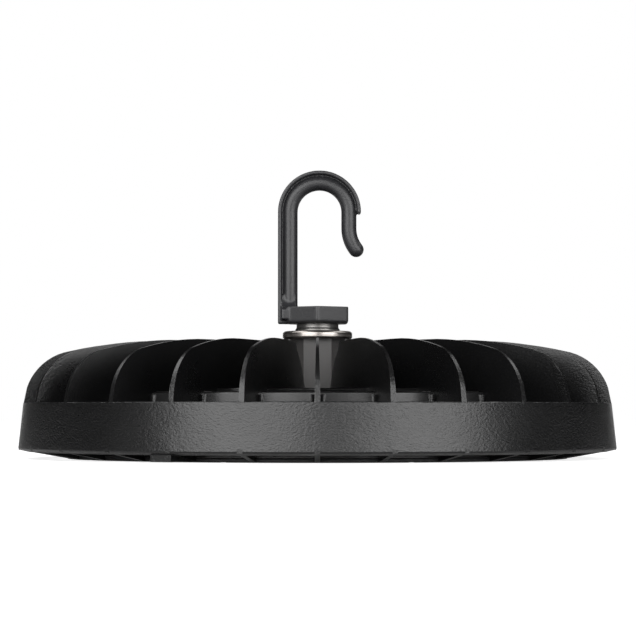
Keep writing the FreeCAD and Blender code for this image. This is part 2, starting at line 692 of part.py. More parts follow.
def add_seal_groove(body):
    """The O-ring's groove in the hub's seat, as deep as its cord is thick."""
    half = "(seal_cord + 0.1)"
    add_turned(body, "seal_groove", [
        ("seal_radius - " + half, "hub_top - 2 * seal_cord"),
        ("seal_radius + " + half, "hub_top - 2 * seal_cord"),
        ("seal_radius + " + half, "hub_top + 1"),
        ("seal_radius - " + half, "hub_top + 1"),
    ], cut=True)


# ---------------------------------------------------------------- lens stack

def make_lens_ring():
    body = new_body("lens_ring")
    outer = "foot_radius - bezel_inset"
    add_turned(body, "ring", [
        ("bezel_opening + 0.5", "0"),
        (outer + " - 0.4", "0"),
        (outer, "0.4"),
        (outer, "bezel_wall"),
        ("bezel_opening", "bezel_wall"),
        ("bezel_opening", "0.5"),
    ])
    hole = add_turned(body, "screw_hole", [
        ("bezel_screw_circle", "-0.5"),
        ("bezel_screw_circle + bezel_head_radius + screw_clearance / 2", "-0.5"),
        ("bezel_screw_circle + bezel_head_radius + screw_clearance / 2", "0"),
        ("bezel_screw_circle + bezel_screw_radius + screw_clearance / 2", "bezel_head_depth"),
        ("bezel_screw_circle + bezel_screw_radius + screw_clearance / 2", "bezel_wall + 0.5"),
        ("bezel_screw_circle", "bezel_wall + 0.5"),
    ], cut=True, axis_at="bezel_screw_circle", turn="bezel_screw_turn")
    add_polar(body, "screw_holes", [hole], "bezel_screw_count")


def make_lens_ring_screws():
    body = new_body("lens_ring_screws")
    screw = add_turned(body, "screw", [
        ("bezel_screw_circle", "0.1"),
        ("bezel_screw_circle + bezel_head_radius - 0.1", "0.1"),
        ("bezel_screw_circle + bezel_screw_radius", "bezel_head_depth"),
        ("bezel_screw_circle + bezel_screw_radius", "bezel_screw_length - 0.8"),
        ("bezel_screw_circle + bezel_screw_radius - 0.6", "bezel_screw_length"),
        ("bezel_screw_circle", "bezel_screw_length"),
    ], axis_at="bezel_screw_circle", turn="bezel_screw_turn")
    add_polar(body, "screws", [screw], "bezel_screw_count")


def lens_circles():
    """The three circles of light points: name, radius and count."""
    return [(name, name + "_circle", name + "_count") for name in ("inner", "middle", "outer")]


def make_lens_plate():
    body = new_body("lens_plate")
    rim = "seat_radius - lens_clearance"
    neck = "bezel_opening - lens_clearance"
    top = LENS_FACE + " + lens_wall"
    add_turned(body, "plate", [
        ("0", LENS_FACE),
        (neck + " - lens_lift", LENS_FACE),
        (neck, "bezel_wall"),
        (rim, "bezel_wall"),
        (rim, "bezel_wall + lens_wall"),
        (neck + " + lens_wall / 2", "bezel_wall + lens_wall"),
        (neck + " + lens_wall / 2 - lens_lift", top),
        ("0", top),
    ])
    for name, circle, count in lens_circles():
        lenslet = add_turned(body, name + "_lenslet", [
            (circle, LENS_FACE + " + lens_wall / 2"),
            (circle, LENS_FACE + " - lenslet_depth"),
            (circle + " + lenslet_flat", LENS_FACE + " - lenslet_depth"),
            (circle + " + lenslet_radius", LENS_FACE),
            (circle + " + lenslet_radius", LENS_FACE + " + lens_wall / 2"),
        ], axis_at=circle)
        add_polar(body, name + "_lenslets", [lenslet], count)


def make_lens_gasket():
    body = new_body("lens_gasket")
    base = "bezel_wall + lens_wall"
    add_turned(body, "strip", [
        ("module_bore + 0.4", base),
        ("seat_radius - 0.2", base),
        ("seat_radius - 0.2", SEAT_FACE),
        ("module_bore + 0.4", SEAT_FACE),
    ])


# ---------------------------------------------------------------- LED module

def make_led_carrier():
    body = new_body("led_carrier")
    rim = "module_bore - carrier_clearance"
    base = "module_height - carrier_wall"
    add_turned(body, "plate", [
        ("0", base),
        (rim + " - 0.5", base),
        (rim, base + " + 0.5"),
        (rim, "module_height"),
        ("0", "module_height"),
    ])
    hole = add_round_pad(body, "screw_hole", around("post_circle", "post_turn"),
                         "carrier_screw_radius + screw_clearance", base + " - 1",
                         "carrier_wall + 2", cut=True)
    add_polar(body, "screw_holes", [hole], "3")
    tapped = add_round_pad(body, "board_hole", ("0", "-1 * board_screw_circle"),
                           "small_screw_radius + thread_fit", base + " - 1",
                           "carrier_wall + 2", cut=True)
    add_polar(body, "board_holes", [tapped], "board_screw_count")
    add_round_pad(body, "lead_hole", lead_place(), "lead_hole_radius", base + " - 1",
                  "carrier_wall + 2", cut=True)


def lead_place():
    """Where the leads pass down from the driver to the LED board, clear of the light points."""
    return around("0.5 * (inner_circle + middle_circle)", "lead_turn")


def make_led_board():
    body = new_body("led_board")
    disc = new_sketch(body, "disc_outline", "XY", BOARD_FACE)
    draw_circle(disc, "0", "0", "board_radius")
    add_pad(body, "disc", disc, "board_wall")
    access = add_round_pad(body, "carrier_access", around("post_circle", "post_turn"),
                           "carrier_head_radius + screw_clearance", BOARD_FACE + " - 1",
                           "board_wall + 2", cut=True)
    add_polar(body, "carrier_accesses", [access], "3")
    hole = add_round_pad(body, "screw_hole", ("0", "-1 * board_screw_circle"),
                         "small_screw_radius + screw_clearance", BOARD_FACE + " - 1",
                         "board_wall + 2", cut=True)
    add_polar(body, "screw_holes", [hole], "board_screw_count")
    add_round_pad(body, "lead_hole", lead_place(), "lead_hole_radius", BOARD_FACE + " - 1",
                  "board_wall + 2", cut=True)


def make_led_chips():
    """One LED package behind the middle of each lenslet."""
    body = new_body("led_chips")
    for name, circle, count in lens_circles():
        package = new_sketch(body, name + "_package", "XY", BOARD_FACE + " - chip_height", turn="90")
        draw(package, rectangle("-1 * chip_side / 2", "-1 * %s - chip_side / 2" % circle,
                                "chip_side", "chip_side"))
        chip = add_pad(body, name + "_chip", package, "chip_height")
        add_polar(body, name + "_chips", [chip], count)


def pan_head_screw(circle, seat, shank, head, head_height, length):
    """Half-section of a pan-head screw that points up, its head's upper face at seat."""
    return [
        (circle, "(%s) - %s" % (seat, head_height)),
        ("%s + 0.7 * %s" % (circle, head), "(%s) - %s" % (seat, head_height)),
        ("%s + %s" % (circle, head), "(%s) - 0.6 * %s" % (seat, head_height)),
        ("%s + %s" % (circle, head), seat),
        ("%s + %s" % (circle, shank), seat),
        ("%s + %s" % (circle, shank), "(%s) + %s" % (seat, length)),
        (circle, "(%s) + %s" % (seat, length)),
    ]


def make_carrier_screws():
    body = new_body("carrier_screws")
    screw = add_turned(body, "screw", pan_head_screw(
        "post_circle", "module_height - carrier_wall", "carrier_screw_radius",
        "carrier_head_radius", "carrier_head_height", "carrier_screw_length"),
        axis_at="post_circle", turn="post_turn")
    add_polar(body, "screws", [screw], "3")


def make_led_board_screws():
    body = new_body("led_board_screws")
    screw = add_turned(body, "screw", pan_head_screw(
        "board_screw_circle", BOARD_FACE, "small_screw_radius", "small_head_radius",
        "small_head_height", "board_wall + carrier_wall"),
        axis_at="board_screw_circle", turn="0")
    add_polar(body, "screws", [screw], "board_screw_count")


# ---------------------------------------------------------------- driver

def part_object(kind, name, place=("0", "0", "0"), **sizes):
    """A Part primitive with its sizes and its corner or centre tied to the sheet."""
    thing = doc.addObject("Part::" + kind, name)
    bind(thing, **sizes)
    for axis, text in zip("xyz", place):
        thing.setExpression("Placement.Base." + axis, over_sheet(text))
    return thing


def part_box(name, corner, length, width, height):
    return part_object("Box", name, corner, Length=length, Width=width, Height=height)


def part_cylinder(name, centre, radius, height):
    return part_object("Cylinder", name, centre, Radius=radius, Height=height)


def joined(kind, label, things):
    """A Part::MultiFuse or Part::Compound of several objects."""
    result = doc.addObject("Part::" + kind, label)
    if kind == "Compound":
        result.Links = things
    else:
        result.Shapes = things
    return result


def less(label, base, tool):
    result = doc.addObject("Part::Cut", label)
    result.Base, result.Tool = base, tool
    return result


def as_node(thing, label):
    thing.Label = label
    NODES.append(thing)
    doc.recompute()


def tray_screw_places():
    """Centres of the tray's two tabs, in front of it and behind it."""
    middle = "tray_left + tray_length / 2"
    return [(middle, "tray_front - tab_length / 2"),
            (middle, "tray_front + tray_width + tab_length / 2")]


def make_driver_tray():
    """An insulating tray, open downwards, with a screw tab on each long side."""
    outer = part_box("tray_block", ("tray_left", "tray_front", TRAY_BASE),
                     "tray_length", "tray_width", "tray_height")
    inner = part_box("tray_hollow", ("tray_left + tray_wall", "tray_front + tray_wall",
                                     TRAY_BASE + " - 1"),
                     "tray_length - 2 * tray_wall", "tray_width - 2 * tray_wall",
                     "tray_height + 1 - tray_wall")
    shell = less("tray_shell", outer, inner)
    tab_left = "tray_left + (tray_length - tab_width) / 2"
    tab_base = TRAY_TOP + " - tray_wall"
    front_tab = part_box("front_tab", (tab_left, "tray_front - tab_length", tab_base),
                         "tab_width", "tab_length + tray_wall", "tray_wall + pad_wall")
    back_tab = part_box("back_tab", (tab_left, "tray_front + tray_width - tray_wall", tab_base),
                        "tab_width", "tab_length + tray_wall", "tray_wall + pad_wall")
    body = joined("MultiFuse", "tray_body", [shell, front_tab, back_tab])
    holes = [part_cylinder("tab_hole_" + side, (x, y, tab_base + " - 1"),
                           "small_screw_radius + screw_clearance", "tray_wall + pad_wall + 2")
             for side, (x, y) in zip(("front", "back"), tray_screw_places())]
    as_node(less("driver_tray", body, joined("Compound", "tab_holes", holes)), "driver_tray")


def make_driver_screws():
    screws = []
    seat = TRAY_TOP + " - tray_wall"
    for side, (x, y) in zip(("front", "back"), tray_screw_places()):
        head = part_cylinder("head_" + side, (x, y, seat + " - small_head_height"),
                             "small_head_radius", "small_head_height")
        shank = part_cylinder("shank_" + side, (x, y, seat), "small_screw_radius",
                              "tray_wall + pad_wall + roof_wall - 1.5")
        screws.append(joined("MultiFuse", "screw_" + side, [head, shank]))
    as_node(joined("Compound", "driver_screws", screws), "driver_screws")


def make_driver_pad():
    pad = part_box("driver_pad", ("tray_left + pad_inset", "tray_front + pad_inset", TRAY_TOP),
                   "tray_length - 2 * pad_inset", "tray_width - 2 * pad_inset", "pad_wall")
    as_node(pad, "driver_pad")


def on_circuit(along, across):
    """A place on the driver's circuit board, counted from its left front corner."""
    return ("tray_left + tray_wall + circuit_gap + %s" % along,
            "tray_front + tray_wall + circuit_gap + %s" % across, CIRCUIT_BASE + " + circuit_wall")


def make_driver_board():
    board = part_box("driver_board", ("tray_left + tray_wall + circuit_gap",
                                      "tray_front + tray_wall + circuit_gap", CIRCUIT_BASE),
                     "tray_length - 2 * (tray_wall + circuit_gap)",
                     "tray_width - 2 * (tray_wall + circuit_gap)", "circuit_wall")
    as_node(board, "driver_board")


def make_driver_transformer():
    x, y, top = on_circuit("core_along", "core_across")
    core = part_box("transformer_core", (x, y, top), "core_length", "core_width", "core_height")
    winding = part_box("transformer_winding",
                       (x + " - winding_overhang", y + " + (core_width - winding_width) / 2", top),
                       "core_length + 2 * winding_overhang", "winding_width", "winding_height")
    as_node(joined("MultiFuse", "driver_transformer", [core, winding]), "driver_transformer")


def make_driver_choke():
    x, y, top = on_circuit("choke_along", "choke_across")
    ring = part_object("Torus", "driver_choke", (x, y, top + " + choke_thickness"),
                       Radius1="choke_radius", Radius2="choke_thickness")
    as_node(ring, "driver_choke")


def make_driver_capacitors():
    """Three lying cans, side by side."""
    cans = []
    for index in range(3):
        x, y, top = on_circuit("can_along", "(can_across + %d * can_pitch)" % index)
        can = part_cylinder("can_%d" % index, (x, y, top + " + can_radius"),
                            "can_radius", "can_length")
        can.Placement.Rotation = FreeCAD.Rotation(FreeCAD.Vector(0, 1, 0), 90)
        cans.append(can)
    as_node(joined("Compound", "driver_capacitors", cans), "driver_capacitors")


def make_driver_terminal():
    """A block with three wells for the supply's conductors."""
    x, y, top = on_circuit("block_along", "block_across")
    block = part_box("terminal_block", (x, y, top), "block_length", "block_width",
                     "block_height")
    wells = []
    for index in range(3):
        place = "%s + block_length / 2 + %d * well_pitch" % (x, index - 1)
        wells.append(part_cylinder("well_%d" % index,
                                   (place, y + " + block_width / 2",
                                    top + " + block_height - well_depth"),
                                   "well_radius", "well_depth + 1"))
    as_node(less("driver_terminal", block, joined("Compound", "wells", wells)), "driver_terminal")


def make_led_leads():
    """Two leads from the driver board down through the carrier, bent out under the LED board."""
    body = new_body("led_leads")
    x, y = lead_place()
    run = "(%s) - lead_radius" % BOARD_FACE
    for name, offset in (("first", "-1 * lead_spread"), ("second", "lead_spread")):
        section = new_sketch(body, name + "_section", "XY", CIRCUIT_BASE)
        draw_circle(section, x, "%s + %s" % (y, offset), "lead_radius")
        route = new_sketch(body, name + "_route", "XZ", "-1 * (%s + %s)" % (y, offset))
        draw_open(route, [
            (x, CIRCUIT_BASE),
            (x, run + " + lead_bend"),
            ("via", x + " + 0.2929 * lead_bend", run + " + 0.2929 * lead_bend"),
            (x + " + lead_bend", run),
            (x + " + lead_hole_radius + lead_tail", run),
        ])
        pipe = body.newObject("PartDesign::AdditivePipe", name + "_lead")
        pipe.Profile = section
        pipe.Spine = (route, ["Edge%d" % (index + 1) for index in range(3)])
        finish_feature(body, pipe)


# ---------------------------------------------------------------- hook and its fixing

def upright_edges(shape):
    """Names of the straight edges that stand along Z."""
    names = []
    for index, edge in enumerate(shape.Edges):
        first, last = edge.firstVertex().Point, edge.lastVertex().Point
        level = abs(first.x - last.x) < 1e-6 and abs(first.y - last.y) < 1e-6
        if level and abs(first.z - last.z) > 1e-6:
            names.append("Edge%d" % (index + 1))
    return names


def edges_at_height(shape, height):
    """Names of the edges that lie wholly at one height."""
    return ["Edge%d" % (index + 1) for index, edge in enumerate(shape.Edges)
            if abs(edge.BoundBox.ZMin - height) < 1e-6 and abs(edge.BoundBox.ZMax - height) < 1e-6]


def add_edge_feature(body, kind, name, edges, setting, size):
    """A Fillet or Chamfer on named edges of the body as it stands."""
    base = body.Tip
    feature = body.newObject("PartDesign::" + kind, name)
    feature.Base = (base, edges)
    bind(feature, **{setting: size})
    return finish_feature(body, feature)


def make_hook():
    """Hexagonal base, threaded shank, ribbed stem, round bend and a turned-out tail."""
    body = new_body("hook")
    flats = new_sketch(body, "base_outline", "XY", HEX_BASE)
    draw(flats, hexagon("hex_flats", turn=30))
    add_pad(body, "base", flats, "hex_height")
    add_edge_feature(body, "Fillet", "base_rounds", upright_edges(body.Tip.Shape),
                     "Radius", "hex_round")
    add_edge_feature(body, "Chamfer", "base_chamfer",
                     edges_at_height(body.Tip.Shape, reading(HEX_BASE)), "Size", "hex_chamfer")

    rib_left = "bend_offset - rib_radius"
    rib_right = "bend_offset + rib_radius"
    heel = new_sketch(body, "heel_outline", "XY", HEX_BASE)
    draw(heel, [
        (rib_left, "-1 * rib_width / 2"),
        (rib_left + " + rib_wall", "-1 * rib_width / 2"),
        ("-1 * hex_flats / 2 + 2", "-1 * hex_flats / 4"),
        ("-1 * hex_flats / 2 + 2", "hex_flats / 4"),
        (rib_left + " + rib_wall", "rib_width / 2"),
        (rib_left, "rib_width / 2"),
    ])
    add_pad(body, "heel", heel, "hex_height")

    shank_foot = "hub_top - shank_reach"
    add_turned(body, "shank", [
        ("0", shank_foot),
        ("shank_radius - 1", shank_foot),
        ("shank_radius", shank_foot + " + 1"),
        ("shank_radius", HEX_BASE + " + 1"),
        ("0", HEX_BASE + " + 1"),
    ])

    rib = new_sketch(body, "rib_outline", "XZ", "-1 * rib_width / 2")
    draw(rib, [
        (rib_left, HEX_BASE),
        (rib_left, "bend_height"),
        ("via", "bend_offset", "bend_height + rib_radius"),
        (rib_right, "bend_height"),
        (rib_right + " - 0.1", "bend_height - 0.9"),
        (rib_right + " - rib_wall", "bend_height - 0.9"),
        (rib_right + " - rib_wall", "bend_height"),
        ("via", "bend_offset", "bend_height + rib_radius - rib_wall"),
        (rib_left + " + rib_wall", "bend_height"),
        (rib_left + " + rib_wall", HEX_BASE),
    ])
    add_pad(body, "rib", rib, "rib_width")

    web_left = rib_left + " + rib_wall / 2"
    web_right = rib_right + " - rib_wall / 2"
    web = new_sketch(body, "web_outline", "XZ", "-1 * web_wall / 2")
    draw(web, [
        (web_left, HEX_BASE + " + 1"),
        (web_left, "bend_height"),
        ("via", "bend_offset", "bend_height + rib_radius - rib_wall / 2"),
        (web_right, "bend_height"),
        ("bend_offset + bend_radius", "bend_height - 0.5"),
        ("bend_offset + bend_radius", "bend_height"),
        ("via", "bend_offset", "bend_height + bend_radius"),
        ("bend_offset - bend_radius", "bend_height"),
        ("bend_offset - bend_radius", HEX_BASE + " + 1"),
    ])
    add_pad(body, "web", web, "web_wall")

    tail_top = "bend_height - tail_drop"
    tip_x = "bend_offset + bend_radius + tail_radius * (1 - cos(tail_turn * 1 deg))"
    tip_z = tail_top + " - tail_radius * sin(tail_turn * 1 deg)"
    route = new_sketch(body, "rod_route", "XZ")
    draw_open(route, [
        ("bend_offset - bend_radius", HEX_TOP + " - 3"),
        ("bend_offset - bend_radius", "bend_height"),
        ("via", "bend_offset", "bend_height + bend_radius"),
        ("bend_offset + bend_radius", "bend_height"),
        ("bend_offset + bend_radius", tail_top),
        ("via", "bend_offset + bend_radius + tail_radius * (1 - cos(tail_turn / 2 * 1 deg))",
         tail_top + " - tail_radius * sin(tail_turn / 2 * 1 deg)"),
        (tip_x, tip_z),
    ])
    section = new_sketch(body, "rod_section", "XY", HEX_TOP + " - 3")
    draw_circle(section, "bend_offset - bend_radius", "0", "rod_radius")
    rod = body.newObject("PartDesign::AdditivePipe", "rod")
    rod.Profile = section
    rod.Spine = (route, ["Edge%d" % (index + 1) for index in range(4)])
    finish_feature(body, rod)
    add_turned(body, "tip", [
        (tip_x, tip_z + " - rod_radius"),
        ("via", tip_x + " + rod_radius", tip_z),
        (tip_x, tip_z + " + rod_radius"),
    ], axis_at=tip_x)

    ramp_top = HEX_TOP + " + ramp_height"
    ramp_foot = HEX_TOP + " - 1"
    reach = "(rod_radius + ramp_depth)"
    near = "rod_radius * 0.75"
    ramp = new_sketch(body, "ramp_outline", "YZ", rib_left + " + rib_wall")
    draw(ramp, [
        ("-1 * " + near, ramp_top),
        ("via", "-1 * (%s + 0.25 * (%s - %s))" % (near, reach, near),
         ramp_foot + " + 0.3 * (ramp_height + 1)"),
        ("-1 * " + reach, ramp_foot),
        ("-1 * " + reach, HEX_BASE + " + 2"),
        (reach, HEX_BASE + " + 2"),
        (reach, ramp_foot),
        ("via", "%s + 0.25 * (%s - %s)" % (near, reach, near),
         ramp_foot + " + 0.3 * (ramp_height + 1)"),
        (near, ramp_top),
    ])
    add_pad(body, "ramp", ramp, "rib_radius - rib_wall - bend_radius + rod_radius * 0.8")


def make_hook_fixing():
    """Washer, collar, O-ring and nut that hold the hook to the hub."""
    bore = "shank_radius + shank_clearance"
    washer = new_body("hook_washer")
    add_turned(washer, "disc", [
        (bore, "hub_top"),
        ("washer_radius - washer_chamfer", "hub_top"),
        ("washer_radius", "hub_top + washer_chamfer"),
        ("washer_radius", WASHER_TOP + " - washer_chamfer"),
        ("washer_radius - washer_chamfer", WASHER_TOP),
        (bore, WASHER_TOP),
    ])
    collar = new_body("hook_collar")
    add_turned(collar, "sleeve", [
        (bore, WASHER_TOP),
        ("collar_radius + collar_lip", WASHER_TOP),
        ("collar_radius + collar_lip", WASHER_TOP + " + 0.3 * collar_height"),
        ("collar_radius", WASHER_TOP + " + 0.42 * collar_height"),
        ("collar_radius", HEX_BASE),
        (bore, HEX_BASE),
    ])
    nut = new_body("hook_nut")
    outline = new_sketch(nut, "nut_outline", "XY", ROOF_UNDER + " - nut_height")
    draw(outline, hexagon("nut_flats"))
    add_pad(nut, "hexagon", outline, "nut_height")
    add_round_pad(nut, "thread", ("0", "0"), "shank_radius + thread_fit",
                  ROOF_UNDER + " - nut_height - 1", "nut_height + 2", cut=True)
    seal = part_object("Torus", "hook_seal", ("0", "0", "hub_top - seal_cord"),
                       Radius1="seal_radius", Radius2="seal_cord")
    as_node(seal, "hook_seal")


# ---------------------------------------------------------------- cable gland and breather

def make_cable_gland():
    """Body, seal and nut of the gland behind the hub; no cable is fitted."""
    centre = ("0", "gland_offset")
    hex_top = GLAND_BASE + " + gland_hex_height"
    neck_top = hex_top + " + gland_neck_height"
    ledge = hex_top + " + gland_neck_height - gland_seal_height"
    at = "gland_offset + "

    body = new_body("gland_body")
    outline = new_sketch(body, "hexagon_outline", "XY", GLAND_BASE)
    draw(outline, hexagon("gland_flats", centre[0], centre[1], turn=0))
    add_pad(body, "hexagon", outline, "gland_hex_height")
    add_round_pad(body, "stub", centre, "gland_thread", ROOF_UNDER, "roof_wall + gland_boss_height + 1")
    add_round_pad(body, "neck", centre, "gland_neck_radius", hex_top + " - 1",
                  "gland_neck_height + 1")
    add_turned(body, "throat", [
        ("gland_offset", ROOF_UNDER + " - 1"),
        (at + "cable_radius + 0.6", ROOF_UNDER + " - 1"),
        (at + "cable_radius + 0.6", ledge),
        (at + "gland_throat", ledge),
        (at + "gland_throat", neck_top + " + 1"),
        ("gland_offset", neck_top + " + 1"),
    ], cut=True, axis_at="gland_offset", turn="180")

    seal = new_body("gland_seal")
    add_turned(seal, "sleeve", [
        (at + "cable_radius", ledge),
        (at + "gland_throat - 0.1", ledge),
        (at + "gland_throat - 0.1", neck_top),
        (at + "gland_throat - 0.6", neck_top + " + 0.8"),
        (at + "cable_radius", neck_top + " + 0.8"),
    ], axis_at="gland_offset", turn="180")

    nut_base = hex_top + " + gland_nut_lift"
    nut_top = nut_base + " + gland_nut_height"
    nut = new_body("gland_nut")
    outline = new_sketch(nut, "hexagon_outline", "XY", nut_base)
    draw(outline, hexagon("gland_flats", centre[0], centre[1], turn=0))
    add_pad(nut, "hexagon", outline, "gland_nut_height * 0.6")
    add_turned(nut, "dome", [
        ("gland_offset", nut_base + " + gland_nut_height * 0.5"),
        (at + "gland_flats / 2", nut_base + " + gland_nut_height * 0.5"),
        (at + "gland_flats / 2", nut_base + " + gland_nut_height * 0.68"),
        ("via", at + "gland_flats / 2 - 0.9", nut_base + " + gland_nut_height * 0.88"),
        (at + "gland_flats / 2 - 3", nut_top),
        ("gland_offset", nut_top),
    ], axis_at="gland_offset", turn="180")
    add_turned(nut, "hollow", [
        ("gland_offset", nut_base + " - 1"),
        (at + "gland_neck_radius + thread_fit", nut_base + " - 1"),
        (at + "gland_neck_radius + thread_fit", neck_top + " + 0.2"),
        (at + "gland_throat", neck_top + " + 1.2"),
        (at + "cable_radius + 0.7", nut_top + " - 1"),
        (at + "cable_radius + 0.7", nut_top + " + 1"),
        ("gland_offset", nut_top + " + 1"),
    ], cut=True, axis_at="gland_offset", turn="180")


def make_breather():
    """Pressure-equalising vent screwed into the roof."""
    body = new_body("breather_vent")
    at = "vent_circle + "
    add_turned(body, "plug", [
        ("vent_circle", ROOF_UNDER),
        (at + "vent_thread", ROOF_UNDER),
        (at + "vent_thread", "roof_top"),
        (at + "vent_radius - 0.9", "roof_top"),
        (at + "vent_radius - 0.9", "roof_top + 0.3 * vent_height"),
        (at + "vent_radius", "roof_top + 0.3 * vent_height"),
        (at + "vent_radius", "roof_top + 0.75 * vent_height"),
        (at + "vent_radius - 1.2", "roof_top + vent_height"),
        ("vent_circle", "roof_top + vent_height"),
    ], axis_at="vent_circle", turn="vent_turn")
    add_turned(body, "channel", [
        ("vent_circle", ROOF_UNDER + " - 1"),
        (at + "vent_channel", ROOF_UNDER + " - 1"),
        (at + "vent_channel", "roof_top + 0.5 * vent_height"),
        ("vent_circle", "roof_top + 0.5 * vent_height"),
    ], cut=True, axis_at="vent_circle", turn="vent_turn")


# ---------------------------------------------------------------- whole light

def check_document():
    for thing in doc.Objects:
        for state in ("Invalid", "Error"):
            if state in thing.State:
                raise RuntimeError("%s is %s" % (thing.Name, state))
    for node in NODES:
        if node.Shape.isNull() or not node.Shape.isValid():
            raise RuntimeError("%s has no valid shape" % node.Label)


def write_parts():
    os.makedirs("parts", exist_ok=True)
    for node in NODES:
        node.Shape.exportStep("parts/%s.step" % node.Label)


make_housing()
make_lens_ring()
make_lens_ring_screws()
make_lens_plate()
make_lens_gasket()
make_led_carrier()
make_carrier_screws()
make_led_board()
make_led_board_screws()
make_led_chips()
make_led_leads()
make_driver_tray()
make_driver_pad()
make_driver_board()
make_driver_transformer()
make_driver_choke()
make_driver_capacitors()
make_driver_terminal()
make_driver_screws()
make_hook()
make_hook_fixing()
make_cable_gland()
make_breather()
doc.recompute()
check_document()
write_parts()
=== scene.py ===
import json
import math

import bpy
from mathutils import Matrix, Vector

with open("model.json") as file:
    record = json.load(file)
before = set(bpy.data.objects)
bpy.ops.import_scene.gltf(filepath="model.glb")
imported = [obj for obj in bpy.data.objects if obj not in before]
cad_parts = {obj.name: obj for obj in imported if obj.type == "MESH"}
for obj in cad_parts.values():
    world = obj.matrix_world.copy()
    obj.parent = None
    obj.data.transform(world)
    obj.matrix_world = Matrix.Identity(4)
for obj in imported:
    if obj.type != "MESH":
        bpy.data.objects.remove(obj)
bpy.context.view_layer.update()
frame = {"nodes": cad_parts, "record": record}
nodes = frame["nodes"]

# Lengths are metres and angles are degrees.
HUB_REACH = 0.0168       # radius of the hub, where the coat is smooth and its colour is painted paler as a highlight
RIM_START = 0.1465       # radius from which the coat has its full grain
EDGE_ROUND = 0.0003      # rounding of cast, plated and clamped edges
EDGE_ANGLE = 28.0        # a sharper turn of the surface than this is an edge
WELD_REACH = 0.00001     # points nearer than this are one
HOOK_CELL = 0.00045      # cell of the hook's moulded skin
HOOK_SMOOTHINGS = 4
FLOOR_HALF = 6.0
FLOOR_DROP = 0.0001      # keeps the floor clear of the lower face
FLOOR_NEAR = 1.4         # radius within which the floor is dimmed, so that a shadow shows
LAMP_AIM = Vector((0.0, 0.0, 0.04))
CAMERA_PLACE = (0.00025, -1.214, 0.022)
CAMERA_TILT = 2.37       # upwards
CAMERA_LENS = 135.85     # mm


# ---------------------------------------------------------------- materials

class Finish:
    """A procedural material, built node by node."""

    def __init__(self, name):
        self.material = bpy.data.materials.new(name)
        self.material.use_nodes = True
        self.tree = self.material.node_tree
        self.tree.nodes.clear()
        self.out = self.node("ShaderNodeOutputMaterial")
        self.shader = self.node("ShaderNodeBsdfPrincipled")
        self.link(self.shader.outputs["BSDF"], self.out.inputs["Surface"])
        self.place = self.node("ShaderNodeTexCoord").outputs["Object"]

    def node(self, kind, **settings):
        made = self.tree.nodes.new(kind)
        for key, value in settings.items():
            setattr(made, key, value)
        return made

    def link(self, source, target):
        self.tree.links.new(source, target)

    def plain(self, **values):
        """Sets sockets of the shader, named with _ for spaces."""
        for key, value in values.items():
            self.shader.inputs[key.replace("_", " ")].default_value = value

    def stretched(self, scale):
        """The place, scaled along each axis."""
        mapping = self.node("ShaderNodeMapping")
        mapping.inputs["Scale"].default_value = scale
        self.link(self.place, mapping.inputs["Vector"])
        return mapping.outputs["Vector"]

    def noise(self, scale, detail, roughness=0.5, vector=None):
        made = self.node("ShaderNodeTexNoise")
        self.link(vector or self.place, made.inputs["Vector"])
        made.inputs["Scale"].default_value = scale
        made.inputs["Detail"].default_value = detail
        made.inputs["Roughness"].default_value = roughness
        return made.outputs["Fac"]

    def cells(self, scale, vector):
        """Round-edged cells: the distance to the middle of each."""
        made = self.node("ShaderNodeTexVoronoi", feature="SMOOTH_F1")
        self.link(vector, made.inputs["Vector"])
        made.inputs["Scale"].default_value = scale
        made.inputs["Smoothness"].default_value = 0.5
        return made.outputs["Distance"]

    def spread(self, value, low, high, start=0.3, end=0.7):
        """value, taken from start..end to low..high."""
        made = self.node("ShaderNodeMapRange")
        self.link(value, made.inputs["Value"])
        made.inputs["From Min"].default_value = start
        made.inputs["From Max"].default_value = end
        made.inputs["To Min"].default_value = low
        made.inputs["To Max"].default_value = high
        return made.outputs["Result"]

    def sum(self, first, second, share):
        """first, and a share of second."""
        made = self.node("ShaderNodeMath", operation="MULTIPLY_ADD")
        self.link(second, made.inputs[0])
        made.inputs[1].default_value = share
        self.link(first, made.inputs[2])
        return made.outputs["Value"]

    def product(self, first, second):
        made = self.node("ShaderNodeMath", operation="MULTIPLY")
        self.link(first, made.inputs[0])
        self.link(second, made.inputs[1])
        return made.outputs["Value"]

    def away_from_axis(self, radius, inside):
        """inside up to nine tenths of radius from the upright axis, and 1 beyond radius."""
        length = self.node("ShaderNodeVectorMath", operation="LENGTH")
        self.link(self.stretched((1.0, 1.0, 0.0)), length.inputs[0])
        return self.spread(length.outputs["Value"], inside, 1.0, 0.9 * radius, radius)

    def colours(self, value, dark, light):
        """The base colour goes from dark to light as value goes from 0.3 to 0.7."""
        made = self.node("ShaderNodeValToRGB")
        low, high = made.color_ramp.elements
        low.position, low.color = 0.3, (*dark, 1.0)
        high.position, high.color = 0.7, (*light, 1.0)
        self.link(value, made.inputs["Fac"])
        self.link(made.outputs["Color"], self.shader.inputs["Base Color"])

    def rough(self, value):
        self.link(value, self.shader.inputs["Roughness"])

    def bump(self, height, depth):
        made = self.node("ShaderNodeBump")
        made.inputs["Strength"].default_value = 1.0
        made.inputs["Distance"].default_value = depth
        self.link(height, made.inputs["Height"])
        self.link(made.outputs["Normal"], self.shader.inputs["Normal"])


def orange_peel(made, roughness, grain):
    """Patches, roughness and relief of powder coat on a casting, pulled out sideways."""
    wide = made.stretched((0.62, 0.62, 1.15))
    peel = made.noise(grain, 3.0, 0.6, wide)
    patches = made.noise(28.0, 3.0)
    uneven = made.sum(made.spread(patches, roughness - 0.04, roughness + 0.04), peel, 0.08)
    relief = made.sum(peel, made.cells(grain * 1.6, wide), 0.3)
    return patches, uneven, relief


